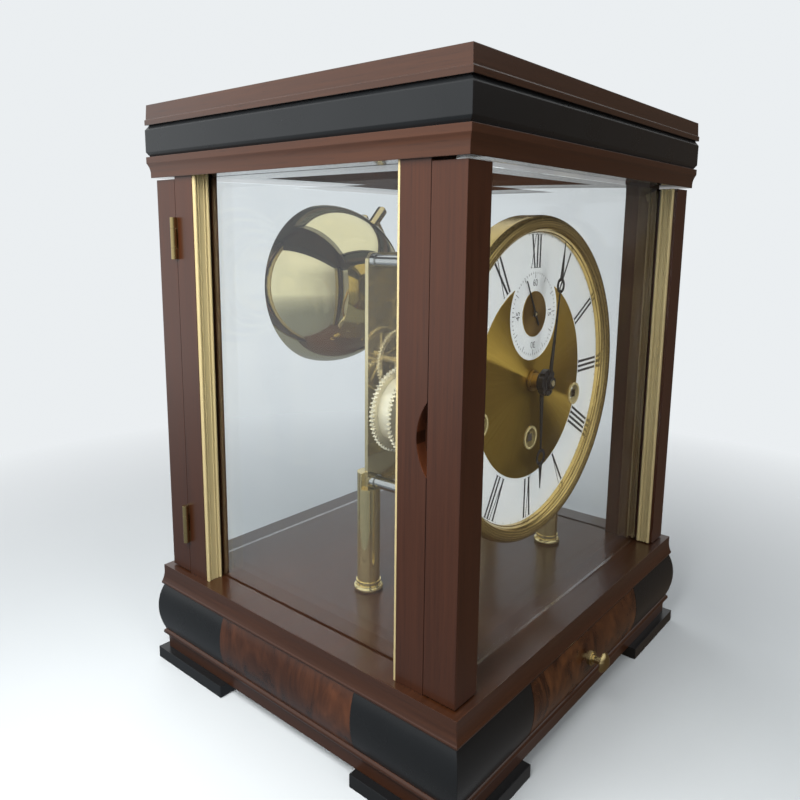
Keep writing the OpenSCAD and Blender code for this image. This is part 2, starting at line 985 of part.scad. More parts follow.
module hand(at, angle, y0, y1, bore) {
    difference() {
        layer(at, y0, y1)
            rotate(-angle)
                children();
        rod(at, bore, y0 - 1, y1 + 1);
    }
}

hour_hand_y = dial_y - 6.8;
minute_hand_y = dial_y - 11.2;
hand_t = 0.8;
cannon_r = 2.3;
hub_r = 7.2;
nut_r = 3.2;
nut_t = 1.5;

// Pointer with a notched boss behind it and a small nut in front
module minute_hand() {
    nut_y = minute_hand_y - nut_t;
    boss_y = hour_hand_y - 0.6;
    centred() color("#15171a") {
        hand(centre_at, minute_at, minute_hand_y, minute_hand_y + hand_t, cannon_r + 0.02)
            pointer_2d(4.2, minute_len * 0.69, 4, minute_len, 1.5);
        difference() {
            rod(centre_at, hub_r, minute_hand_y + hand_t, boss_y);
            rod(centre_at, cannon_r + 0.02, minute_hand_y, boss_y + 1);
            for (a = [0 : 60 : 300])
                rod(centre_at + polar(hub_r, a + 30 - minute_at), 1.3, minute_hand_y, boss_y + 1);
        }
        difference() {
            rod(centre_at, nut_r, nut_y, minute_hand_y);
            rod(centre_at, arbor_r + 0.02, nut_y - 1, minute_hand_y + 1);
        }
    }
}

// Pointer on a flanged collet
module hour_hand() {
    flange_y = dial_y - disc_t - 0.4;
    centred() color("#15171a") {
        hand(centre_at, hour_at, hour_hand_y, hour_hand_y + hand_t, wind_r + 0.02)
            pointer_2d(5.5, hour_len * 0.7, 4.6, hour_len, 1.8);
        difference() {
            union() {
                rod(centre_at, wind_r + 1.2, hour_hand_y + hand_t, flange_y);
                rod(centre_at, wind_r + 2.7, flange_y - 1.2, flange_y);
            }
            rod(centre_at, wind_r + 0.02, hour_hand_y, dial_y);
        }
    }
}

module seconds_hand() {
    y = dial_y - 1.3;
    centred() color("#15171a")
        hand(fourth_at, second_at, y, y + 0.5, pivot_r + 0.02) {
            circle(r = 1.5);
            polygon([[-0.55, -7], [0.55, -7], [0.25, second_len], [-0.25, second_len]]);
        }
}

// Wheels

// Toothed rim, arms and hub of a wheel, in front view
module wheel_2d(z, m, phase, hub) {
    rim = m * (z / 2 - 1.25) - 1.8;
    difference() {
        polygon(wheel_points(z, m, phase));
        circle(r = rim);
    }
    circle(r = hub);
    for (a = [0 : 72 : 288])
        rotate(a + phase)
            translate([-0.9, 0])
                square([1.8, rim + 0.6]);
}

module pinion_2d(z, m, phase) {
    polygon(leaf_points(z, m, phase));
}

great_y = -15.6;
inter_y = -10.6;
centre_y = -42.5;
third_y = -38.7;
fourth_y = -33.3;
lever_y = -28;
balance_y = -21.5;
upper_y = -12.2;
cannon_y = front_out - 2.6;
hour_wheel_y = front_out - 6.8;

module centre_wheel() {
    centred() color("#c9a24a") {
        rod(centre_at, arbor_r, minute_hand_y - nut_t - 0.5, rear_out + 0.6);
        layer(centre_at, centre_y - 0.7, centre_y + 0.7)
            wheel_2d(centre_z, train_m, 0, 4);
        layer(centre_at, inter_y - 0.9, inter_y + 1.6)
            pinion_2d(leaves, inter_m, 0);
        layer(centre_at, cannon_y - 1.1, cannon_y + 1.1)
            pinion_2d(cannon_z, cannon_m, 0);
        rod(centre_at, cannon_r, minute_hand_y, cannon_y);
    }
}

module hour_wheel() {
    hour_phase = meshed(minute_wheel_at, centre_at, minute_leaves, hour_z, 0);
    centred() color("#c9a24a")
        difference() {
            union() {
                layer(centre_at, hour_wheel_y - 0.8, hour_wheel_y + 0.8)
                    wheel_2d(hour_z, hour_m, hour_phase, 4.6);
                rod(centre_at, wind_r, hour_hand_y, hour_wheel_y);
            }
            rod(centre_at, cannon_r + run, minute_hand_y, 0);
        }
}

module minute_wheel() {
    phase = meshed(centre_at, minute_wheel_at, cannon_z, minute_z, 0);
    centred() color("#c9a24a")
        difference() {
            union() {
                layer(minute_wheel_at, cannon_y - 0.8, cannon_y + 0.8)
                    wheel_2d(minute_z, cannon_m, phase, 4);
                layer(minute_wheel_at, hour_wheel_y - 1.2, cannon_y)
                    pinion_2d(minute_leaves, hour_m, 0);
            }
            rod(minute_wheel_at, arbor_r + run, front_out - 20, front_out);
        }
}

module third_wheel() {
    centred() color("#c9a24a") {
        rod(third_at, arbor_r, front_out - 0.5, rear_out + 0.5);
        layer(third_at, centre_y - 1.5, centre_y + 1.5)
            pinion_2d(leaves, train_m, meshed(centre_at, third_at, centre_z, leaves, 0));
        layer(third_at, third_y - 0.7, third_y + 0.7)
            wheel_2d(third_z, train_m, 0, 3.6);
    }
}

module fourth_wheel() {
    centred() color("#c9a24a") {
        rod(fourth_at, pivot_r, dial_y - 1.6, rear_out + 0.5);
        layer(fourth_at, third_y - 1.5, third_y + 1.5)
            pinion_2d(leaves, train_m, meshed(third_at, fourth_at, third_z, leaves, 0));
        layer(fourth_at, fourth_y - 0.7, fourth_y + 0.7)
            wheel_2d(fourth_z, fourth_m, 0, 3);
    }
}

module inter_wheel() {
    centred() color("#c9a24a") {
        rod(inter_at, arbor_r, front_out - 0.5, rear_out + 0.5);
        layer(inter_at, inter_y - 0.7, inter_y + 0.7)
            wheel_2d(inter_z, inter_m, meshed(centre_at, inter_at, leaves, inter_z, 0), 3.6);
        layer(inter_at, great_y - 3.9, great_y)
            pinion_2d(leaves, great_m, 0);
    }
}

module escape_wheel() {
    teeth = 15;
    tip = 7.5;
    points = [
        for (i = [0 : teeth - 1])
            for (p = [[tip, 0], [tip, 2.5], [tip - 2.4, 9], [tip - 2.4, 19]])
                polar(p[0], i * 360 / teeth + p[1])
    ];
    centred() color("#c9a24a") {
        rod(escape_at, pivot_r, front_out - 0.5, rear_out + 0.5);
        layer(escape_at, fourth_y - 1.5, fourth_y + 1.5)
            pinion_2d(leaves, fourth_m, meshed(fourth_at, escape_at, fourth_z, leaves, 0));
        layer(escape_at, lever_y - 0.6, lever_y + 0.6)
            polygon(points);
    }
}

module pallet_lever() {
    reach = norm(balance_at - pallet_at) - 3.7;
    centred() color("#b9bcc0") {
        rod(pallet_at, pivot_r, front_out - 0.5, rear_out + 0.5);
        layer(pallet_at, lever_y - 0.6, lever_y + 0.6) {
            circle(r = 1.8);
            rotate(bearing(pallet_at, balance_at))
                translate([0, -0.6])
                    square([reach, 1.2]);
            for (s = [-1, 1])
                rotate(bearing(pallet_at, escape_at) + s * 62)
                    translate([0, -0.7])
                        square([6, 1.4]);
        }
    }
}

module balance() {
    centred() color("#c9a24a") {
        rod(balance_at, pivot_r, front_out - 0.5, rear_out + 0.5);
        layer(balance_at, balance_y - 0.7, balance_y + 0.7) {
            difference() {
                circle(r = 8);
                circle(r = 6.6);
            }
            circle(r = 1.8);
            translate([-7, -0.6])
                square([14, 1.2]);
        }
        rod(balance_at, 3.4, lever_y + 1.2, lever_y + 2.2);
        rod(balance_at + [-3, 0], 0.35, lever_y - 0.6, lever_y + 1.6);
    }
}

// Drums of the barrels and the planes of their lids
time_drum_r = 16.5;
time_lid_y = -34;
side_drum_r = 18.5;
side_lid_y = -28;

// Going barrel: great wheel behind, drum for the mainspring, lid in front
module barrel(at, z, m, phase, y, r, front, rim_teeth) {
    back = y + 1.2;
    centred() color("#c9a24a")
        difference() {
            union() {
                layer(at, y - 1.2, back)
                    polygon(wheel_points(z, m, phase));
                rod(at, r, front, y);
                if (rim_teeth)
                    layer(at, front, front + 2)
                        polygon(wheel_points(z, m, phase));
                else
                    rod(at, r + 1, front, front + 2);
            }
            rod(at, r - 1.5, front + 2, y - 1.2);
            rod(at, wind_r + 2, front - 1, front + 3);
            rod(at, wind_r + run, front - 1, back + 1);
        }
}

module winding_arbor(at) {
    centred() color("#c3c6c8") {
        rod(at, wind_r, dial_y + 2, rear_out + 1);
        layer(at, dial_y - 0.6, dial_y + 2)
            square([4.2, 4.2], center = true);
    }
}

module time_barrel() {
    phase = meshed(inter_at, time_at, leaves, great_z, 0);
    barrel(time_at, great_z, great_m, phase, great_y - 2.5, time_drum_r, time_lid_y, false);
}

module strike_barrel() {
    barrel(strike_at, side_z, side_m, 0, great_y, side_drum_r, side_lid_y, true);
}

module chime_barrel() {
    barrel(chime_at, side_z, side_m, 0, great_y, side_drum_r, side_lid_y, true);
}

module time_arbor() { winding_arbor(time_at); }
module strike_arbor() { winding_arbor(strike_at); }
module chime_arbor() { winding_arbor(chime_at); }

module upper_wheel(at, from) {
    rod(at, arbor_r, front_out - 0.5, rear_out + 0.5);
    layer(at, upper_y - 0.7, upper_y + 0.7)
        wheel_2d(upper_z, upper_m, 0, 3.6);
    layer(at, great_y - 2.2, great_y + 2.2)
        pinion_2d(leaves, side_m, meshed(from, at, side_z, leaves, 0));
}

module strike_wheel() {
    centred() color("#c9a24a")
        upper_wheel(strike_wheel_at, strike_at);
}

gear_y = rear_out + 3.5;

module chime_wheel() {
    centred() color("#c9a24a") {
        upper_wheel(chime_wheel_at, chime_at);
        rod(chime_wheel_at, arbor_r, rear_out, gear_y + 1);
        layer(chime_wheel_at, gear_y - 1, gear_y + 1)
            wheel_2d(transfer_z, transfer_m, 0, 3.6);
    }
}

module chime_drum() {
    phase = meshed(chime_wheel_at, drum_at, transfer_z, transfer_z, 0);
    centred() color("#c9a24a") {
        rod(drum_at, arbor_r, rear_out - 2, frame_y + frame_t + 0.5);
        layer(drum_at, gear_y - 1, gear_y + 1)
            wheel_2d(transfer_z, transfer_m, phase, 3.6);
        rod(drum_at, drum_r, hammer_y(0) - 7, frame_y - 1.5);
        for (i = [0 : bell_n - 1])
            for (k = [0 : 2])
                translate([drum_at[0], hammer_y(i), drum_at[1]])
                    rotate([0, k * 120 + i * 25 + 40, 0])
                        cylinder(h = drum_r + drum_pin, r = 0.6);
    }
}

// Bells and hammers

module bells() {
    centred() color("#d3ad55")
        for (i = [0 : bell_n - 1])
            difference() {
                translate([bell_at[0], bell_centre(i), bell_at[1]])
                    sphere(r = bell_radius(i), $fn = 64);
                translate([bell_at[0], bell_centre(i), bell_at[1]])
                    sphere(r = bell_radius(i) - bell_t, $fn = 64);
                slab(-case_w, case_w, bell_centre(i), bell_centre(i) + 200, 0, z_roof);
                rod(bell_at, stud_r + 0.02, -case_d, bell_centre(i));
            }
}

// Depth of a dome of radius r at the distance d from its axis
function dome_sag(r, d) = r - sqrt(r * r - d * d);

module bell_stand() {
    spacer_r = 2 * stud_r;
    last = bell_n - 1;
    centred() color("#c9a24a") {
        rod(bell_at, stud_r, rear_out, bell_crown(last) + bell_t + 9);
        rod(bell_at, spacer_r, rear_out, bell_crown(0) + dome_sag(bell_radius(0), stud_r));
        for (i = [0 : last]) {
            inner = bell_radius(i) - bell_t;
            from = bell_crown(i) + bell_t + dome_sag(inner, spacer_r);
            if (i < last)
                rod(bell_at, spacer_r, from, bell_crown(i + 1) + dome_sag(bell_radius(i + 1), stud_r));
            else
                rod(bell_at, spacer_r, from, from + 4);
        }
    }
}

// Edges of the plate that carries the hammers, from the dial centre
frame_left = 13;
frame_right = 46;
frame_low = 8;
frame_high = 60;
frame_posts = [[frame_right - 6, frame_high - 10], [frame_left + 5, frame_low + 7.2]];

module hammer_frame() {
    corners = [
        [frame_left, frame_low + 2],
        [frame_left + 11, frame_low],
        [frame_right, frame_high - 16],
        [frame_right, frame_high - 3],
        [frame_left + 3, frame_high]
    ];
    centred() color("#c9a24a") {
        difference() {
            layer(centre_at, frame_y, frame_y + frame_t)
                polygon(corners);
            rod(drum_at, arbor_r + run, frame_y - 1, frame_y + frame_t + 1);
        }
        for (p = frame_posts)
            rod(centre_at + p, 2.5, rear_out, frame_y + 0.5);
        rod(hammer_at, arbor_r, rear_out, frame_y + 0.5);
    }
}

module hammer(i) {
    y = hammer_y(i);
    out = bell_radius(i) + strike_gap;
    head = bell_at + polar(out + hammer_len / 2, strike_angle);
    reach = norm(head - hammer_at);
    tail = norm(drum_at - hammer_at) - drum_r - drum_pin - tail_gap;
    centred() color("#c9a24a")
        difference() {
            union() {
                rod(hammer_at, 3.5, y - 2.5, y + 2.5);
                translate([hammer_at[0], y, hammer_at[1]])
                    rotate([0, 90 - bearing(hammer_at, head), 0])
                        cylinder(h = reach, r = 1);
                translate([head[0], y, head[1]])
                    rotate([0, 90 - strike_angle, 0])
                        cylinder(h = hammer_len, r = hammer_r, center = true);
                translate([head[0], y, head[1]])
                    rotate([0, 90 - strike_angle, 0])
                        cylinder(h = hammer_len / 2 + 1.6, r = hammer_r / 2);
                layer(hammer_at, y - 0.75, y + 0.75)
                    rotate(bearing(hammer_at, drum_at))
                        translate([0, -1.2])
                            square([tail, 2.4]);
            }
            rod(hammer_at, arbor_r + run, y - 9, y + 9);
        }
}

module hammer_1() { hammer(0); }
module hammer_2() { hammer(1); }
module hammer_3() { hammer(2); }
module hammer_4() { hammer(bell_n - 1); }

feet();
bottom_board();
corner_blocks();
burl_panels();
drawer_bay();
base_board();
corner_posts();
case_glass();
side_strips();
cornice_board();
cornice_band();
top_board();
post_hinges();
support_columns();
front_plate();
rear_plate();
plate_pillars();
dial_plate();
bezel();
centre_disc();
winding_ferrules();
bells();
bell_stand();
hammer_frame();
drawer_front();
drawer_box();
drawer_knob();
front_stiles();
front_glass();
front_strips();
front_hinges();
rear_stiles();
rear_glass();
rear_strips();
rear_hinges();
centre_wheel();
minute_hand();
hour_wheel();
hour_hand();
minute_wheel();
third_wheel();
fourth_wheel();
seconds_hand();
inter_wheel();
time_barrel();
time_arbor();
escape_wheel();
pallet_lever();
balance();
strike_barrel();
strike_arbor();
strike_wheel();
chime_barrel();
chime_arbor();
chime_wheel();
chime_drum();
hammer_1();
hammer_2();
hammer_3();
hammer_4();
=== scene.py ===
"""Looks of a chiming table clock: materials, dial markings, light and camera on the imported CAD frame."""
import json
import math

import bmesh
import bpy
from mathutils import Matrix, Vector


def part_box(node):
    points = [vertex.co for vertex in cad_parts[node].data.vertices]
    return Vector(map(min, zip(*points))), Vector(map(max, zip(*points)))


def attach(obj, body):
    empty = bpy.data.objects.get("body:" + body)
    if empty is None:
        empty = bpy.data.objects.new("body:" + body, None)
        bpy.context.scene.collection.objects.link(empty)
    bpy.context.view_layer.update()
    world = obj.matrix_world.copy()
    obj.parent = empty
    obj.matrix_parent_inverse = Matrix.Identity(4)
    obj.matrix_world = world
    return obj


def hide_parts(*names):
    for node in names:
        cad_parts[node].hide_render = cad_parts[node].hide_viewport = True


MM = 0.001
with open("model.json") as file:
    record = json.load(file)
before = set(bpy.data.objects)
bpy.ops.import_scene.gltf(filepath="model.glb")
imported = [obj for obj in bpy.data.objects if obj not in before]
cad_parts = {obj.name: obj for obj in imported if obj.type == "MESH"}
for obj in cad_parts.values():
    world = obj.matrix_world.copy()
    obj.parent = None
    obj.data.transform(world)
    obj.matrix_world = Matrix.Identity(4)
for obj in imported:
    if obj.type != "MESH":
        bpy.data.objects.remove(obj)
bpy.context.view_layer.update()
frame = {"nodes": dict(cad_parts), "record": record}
NODES = frame["nodes"]


# Places taken from the frame

def middle(node):
    """Middle of a node's box."""
    low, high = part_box(node)
    return (Vector(low) + Vector(high)) / 2


def opening_height(name):
    """Height of the middle of one of the record's openings."""
    low, high = next(o["box_m"] for o in frame["record"]["physics"]["openings"] if o["name"] == name)
    return (low[2] + high[2]) / 2


DIAL = middle("bezel")
SECONDS = middle("fourth_wheel")
DIAL_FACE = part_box("dial_plate")[0].y
HOUR_HAND_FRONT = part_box("hour_hand")[0].y
NUT_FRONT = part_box("minute_hand")[0].y
NOTCH_HEIGHT = opening_height("front_finger_notch")

# Thickness of a hand and of the nut on the minute hand, and a depth just past a hand's back
HAND_THICK, NUT_THICK = 0.8 * MM, 1.5 * MM
BEHIND_HAND = HAND_THICK + 0.05 * MM


# Shader helpers

# Ranges that hold most values of a noise
NOISE_BAND, SMEAR_BAND, WEAR_BAND = (0.3, 0.7), (0.35, 0.7), (0.35, 0.65)

# Sockets of the Mix node for vectors and for colours
VECTOR_A, VECTOR_B, VECTOR_OUT = 4, 5, 1
COLOUR_A, COLOUR_B, COLOUR_OUT = 6, 7, 2

BEVEL_SAMPLES = 4
BLACK = (0.0, 0.0, 0.0)


def add(tree, kind, inputs=None, **settings):
    """Adds a shader node; inputs maps socket names or numbers to values or to other sockets."""
    node = tree.nodes.new("ShaderNode" + kind)
    for key, value in settings.items():
        setattr(node, key, value)
    for key, value in (inputs or {}).items():
        if isinstance(value, bpy.types.NodeSocket):
            tree.links.new(value, node.inputs[key])
        else:
            node.inputs[key].default_value = value
    return node


def new_material(name, **values):
    """A Principled material whose constants sit on the shader's own sockets, named with _ for spaces."""
    mat = bpy.data.materials.new(name)
    mat.use_nodes = True
    shader = mat.node_tree.nodes["Principled BSDF"]
    for key, value in values.items():
        shader.inputs[key.replace("_", " ")].default_value = value
    return mat, mat.node_tree, shader


def feed(tree, shader, **sockets):
    """Links sockets to a shader's inputs, named with _ for spaces."""
    for key, socket in sockets.items():
        tree.links.new(socket, shader.inputs[key.replace("_", " ")])


def mix_shaders(tree, factor, a, b):
    return add(tree, "MixShader", {0: factor, 1: a, 2: b}).outputs[0]


def show(tree, surface):
    """Makes a mixed shader the material's surface."""
    tree.links.new(surface, tree.nodes["Material Output"].inputs["Surface"])


def place(tree):
    """Object coordinates of the shaded point, in metres."""
    return add(tree, "TexCoord").outputs["Object"]


def normal(tree):
    """Normal of the shaded face, in object coordinates."""
    return add(tree, "TexCoord").outputs["Normal"]


def stretched(tree, scale):
    """Object coordinates scaled per axis, in repeats per metre."""
    return add(tree, "Mapping", {"Vector": place(tree), "Scale": scale}).outputs[0]


def parts(tree, vector):
    """X, Y and Z of a vector."""
    return add(tree, "SeparateXYZ", {0: vector}).outputs


def noise(tree, vector, scale=1.0, detail=4.0, rough=0.55, distortion=0.0):
    sockets = {"Vector": vector, "Scale": scale, "Detail": detail, "Roughness": rough,
               "Distortion": distortion}
    return add(tree, "TexNoise", sockets).outputs["Fac"]


def spread(tree, value, low, high, to_low=0.0, to_high=1.0):
    """Carries a value from the range low to high over to another range, and holds it there."""
    sockets = {"Value": value, "From Min": low, "From Max": high, "To Min": to_low, "To Max": to_high}
    return add(tree, "MapRange", sockets).outputs[0]


def maths(tree, operation, a, b=0.0):
    return add(tree, "Math", {0: a, 1: b}, operation=operation).outputs[0]


def vector_maths(tree, operation, a, b=(0.0, 0.0, 0.0)):
    return add(tree, "VectorMath", {0: a, 1: b}, operation=operation).outputs[0]


def length_of(tree, vector):
    return add(tree, "VectorMath", {0: vector}, operation="LENGTH").outputs["Value"]


def blend_vector(tree, factor, a, b):
    node = add(tree, "Mix", {0: factor, VECTOR_A: a, VECTOR_B: b}, data_type="VECTOR")
    return node.outputs[VECTOR_OUT]


def blend_colour(tree, factor, a, b):
    """Goes from colour a to colour b, each a socket or its red, green and blue."""
    a, b = (c if isinstance(c, bpy.types.NodeSocket) else (*c, 1.0) for c in (a, b))
    node = add(tree, "Mix", {0: factor, COLOUR_A: a, COLOUR_B: b}, data_type="RGBA")
    return node.outputs[COLOUR_OUT]


def times(colour, share):
    return tuple(c * share for c in colour)


def bump(tree, shader, height, depth, strength, edge=0.0):
    """Fine relief, and softly rounded edges where edge gives a radius."""
    sockets = {"Height": height, "Distance": depth, "Strength": strength}
    if edge:
        sockets["Normal"] = add(tree, "Bevel", {"Radius": edge}, samples=BEVEL_SAMPLES).outputs[0]
    feed(tree, shader, Normal=add(tree, "Bump", sockets).outputs[0])


# Wood

# Repeats per metre across and along the grain
FIBRE, FIGURE, PORES = (700.0, 14.0), (45.0, 2.6), (1700.0, 60.0)
BURL_FIBRE = (420.0, 420.0, 60.0)

LACQUER_IOR = 1.45
LACQUERED_EDGE, BURL_EDGE = 0.6 * MM, 0.4 * MM

# A face is the end of a board where its normal has this much X, and square to an axis past SQUARE
BOARD_END, SQUARE = 0.7, 0.995
NOTCH_REACH = 30.0 * MM


def grain_space(tree, axis, across, along):
    """Coordinates drawn out along the grain. With EDGE, the grain follows each edge of a moulded board."""
    if axis == "Z":
        return stretched(tree, (across, across, along))
    run_x = stretched(tree, (along, across, across))
    if axis == "X":
        return run_x
    run_y = stretched(tree, (across, along, across))
    side = maths(tree, "GREATER_THAN", maths(tree, "ABSOLUTE", parts(tree, normal(tree))[0]), BOARD_END)
    return blend_vector(tree, side, run_x, run_y)


def paint_notch_light(tree, colour, wear_and_notch_light):
    """Paints light into the finger notch: a lighter colour on the faces near its height that lie square to no
    axis.
    """
    lean = parts(tree, vector_maths(tree, "ABSOLUTE", normal(tree)))
    largest = maths(tree, "MAXIMUM", maths(tree, "MAXIMUM", lean[0], lean[1]), lean[2])
    sockets = {0: parts(tree, place(tree))[2], 1: NOTCH_HEIGHT, 2: NOTCH_REACH}
    near = add(tree, "Math", sockets, operation="COMPARE").outputs[0]
    hollow = maths(tree, "MULTIPLY", maths(tree, "LESS_THAN", largest, SQUARE), near)
    return blend_colour(tree, hollow, colour, wear_and_notch_light)


def walnut(name, axis, dark, light, gloss=0.34, coat=0.4, figure_share=0.5, relief=0.25, under=None,
           notch=None):
    """Fine, even walnut under a satin polish; under is the roughness of faces that look down, and notch the
    colour of painted light in the finger notch."""
    mat, tree, shader = new_material(name, Coat_Weight=coat, Coat_Roughness=0.14, IOR=LACQUER_IOR)
    fibre = noise(tree, grain_space(tree, axis, *FIBRE), detail=5.0, rough=0.6)
    figure = noise(tree, grain_space(tree, axis, *FIGURE), detail=3.0, distortion=1.1)
    pores = noise(tree, grain_space(tree, axis, *PORES), detail=2.0)
    share = maths(tree, "MULTIPLY", figure, figure_share)
    tone = maths(tree, "ADD", maths(tree, "MULTIPLY", fibre, 1.0 - figure_share), share)
    colour = blend_colour(tree, spread(tree, tone, 0.34, 0.66), dark, light)
    fleck = spread(tree, pores, 0.60, 0.72)
    colour = blend_colour(tree, maths(tree, "MULTIPLY", fleck, 0.5), colour, times(dark, 0.5))
    # The finger notch gets painted light: a lighter colour on its faces
    if notch:
        colour = paint_notch_light(tree, colour, notch)
    rough = spread(tree, fibre, *NOISE_BAND, gloss - 0.04, gloss + 0.05)
    if under:
        rough = spread(tree, parts(tree, normal(tree))[2], -0.8, -0.4, under, rough)
    feed(tree, shader, Base_Color=colour, Roughness=rough)
    bump(tree, shader, maths(tree, "SUBTRACT", fibre, fleck), 0.03 * MM, relief, edge=LACQUERED_EDGE)
    return mat


def burl(name, dark, light, scale):
    """Cloudy flame figure with darker streaks and small eyes, under gloss lacquer."""
    mat, tree, shader = new_material(name, Coat_Weight=0.25, Coat_Roughness=0.1, IOR=LACQUER_IOR)
    drawn = stretched(tree, (scale, scale, scale * 0.55))
    swirl = noise(tree, drawn, detail=6.0, rough=0.6, distortion=2.2)
    cloud = noise(tree, drawn, scale=0.4, detail=3.0, distortion=1.2)
    fibre = noise(tree, stretched(tree, BURL_FIBRE), detail=4.0, rough=0.65, distortion=0.6)
    eyes = add(tree, "TexVoronoi", {"Vector": drawn, "Scale": 1.7, "Randomness": 1.0}).outputs["Distance"]
    colour = blend_colour(tree, spread(tree, swirl, 0.36, 0.66), dark, light)
    colour = blend_colour(tree, spread(tree, cloud, 0.40, 0.62, 0.0, 0.6), colour, times(dark, 1.4))
    colour = blend_colour(tree, spread(tree, eyes, 0.16, 0.04, 0.0, 0.6), colour, times(dark, 0.5))
    colour = blend_colour(tree, spread(tree, fibre, 0.45, 0.75, 0.0, 0.35), colour, times(dark, 0.6))
    feed(tree, shader, Base_Color=colour, Roughness=spread(tree, swirl, *NOISE_BAND, 0.24, 0.34))
    bump(tree, shader, fibre, 0.02 * MM, 0.2, edge=BURL_EDGE)
    return mat


def lacquer(name, colour, gloss):
    """Satin lacquer with a fine orange peel and a haze in its gloss."""
    mat, tree, shader = new_material(name, Coat_Weight=0.2, Coat_Roughness=0.22, IOR=LACQUER_IOR)
    peel = noise(tree, place(tree), scale=420.0, detail=3.0)
    haze = noise(tree, place(tree), scale=30.0, detail=2.0)
    rough = spread(tree, haze, *NOISE_BAND, gloss - 0.04, gloss + 0.06)
    feed(tree, shader, Base_Color=blend_colour(tree, haze, colour, times(colour, 1.6)), Roughness=rough)
    bump(tree, shader, peel, 0.03 * MM, 0.25, edge=LACQUERED_EDGE)
    return mat


# Metals

# Tool marks per metre along each axis: on wheels and drums, and round the arbors
WHEEL_MARKS, ARBOR_MARKS = (1500.0, 60.0, 60.0), (60.0, 1500.0, 60.0)
DRAWN_ALONG_Z = (900.0, 900.0, 3.0)

DIAL_PLANE, DIAL_AXIS = (1.0, 0.0, 1.0), (0.0, 1.0, 0.0)
GOLD_DARK, GOLD_LIGHT, SECONDS_GOLD = (0.50, 0.315, 0.052), (0.63, 0.42, 0.080), (0.40, 0.25, 0.08)
SECONDS_DISC_RADIUS = 12.0 * MM
RAYS_PER_RADIAN, RAY_CHANGES_PER_METRE = 90.0, 14.0

# Each wedge of painted highlight starts at WEDGE_ANGLE, is full from WEDGE_RISE to WEDGE_FULL radians past
# it, and has faded out at WEDGE_WIDTH
WEDGE_ANGLE, WEDGE_WIDTH = math.radians(162.0), math.radians(34.0)
WEDGE_RISE, WEDGE_FULL = 0.05, 0.12

# The bezel's reeding, its grooves darkened as painted shade, is on its front, where the normal has less Y
# than FRONT_FACE
BEZEL_PITCH, FRONT_FACE = 1.25 * MM, -0.25

HAND_DARK, HAND_LIGHT, COLLET_BRASS = (0.008, 0.008, 0.009), (0.02, 0.02, 0.022), (0.55, 0.38, 0.13)


def metal(name, colour, rough, lines=None, tarnish=0.25, depth=0.02 * MM, edge=0.2 * MM, metallic=1.0):
    """Polished metal with smudges in its gloss; lines are tool marks per metre along each axis."""
    mat, tree, shader = new_material(name, Metallic=metallic)
    smear = noise(tree, place(tree), scale=26.0, detail=4.0, distortion=0.6)
    spots = noise(tree, place(tree), scale=260.0, detail=2.0)
    tone = blend_colour(tree, spread(tree, smear, *SMEAR_BAND), colour, times(colour, 1.0 - tarnish))
    wear_and_notch_light = maths(tree, "ADD", maths(tree, "MULTIPLY", smear, 0.7), maths(tree, "MULTIPLY", spots, 0.3))
    feed(tree, shader, Base_Color=tone, Roughness=spread(tree, wear_and_notch_light, *WEAR_BAND, rough * 0.75, rough * 1.35))
    marks = noise(tree, stretched(tree, lines), detail=2.0) if lines else spots
    bump(tree, shader, marks, depth, 0.25, edge=edge)
    return mat


def satin(name, colour, rough):
    """Lacquered satin brass, drawn along Z: soft enough to take light from every side."""
    mat, tree, shader = new_material(name, Metallic=0.35)
    drawn = noise(tree, stretched(tree, DRAWN_ALONG_Z), detail=3.0)
    cloud = noise(tree, place(tree), scale=18.0, detail=2.0)
    tone = blend_colour(tree, spread(tree, drawn, *NOISE_BAND), times(colour, 0.88), colour)
    gloss = spread(tree, cloud, *NOISE_BAND, rough - 0.04, rough + 0.05)
    feed(tree, shader, Base_Color=tone, Roughness=gloss)
    bump(tree, shader, drawn, 0.003 * MM, 0.1)
    return mat


def arm_from(tree, centre):
    """Vector in the dial's plane from a centre to the shaded point."""
    return vector_maths(tree, "MULTIPLY", vector_maths(tree, "SUBTRACT", place(tree), centre), DIAL_PLANE)


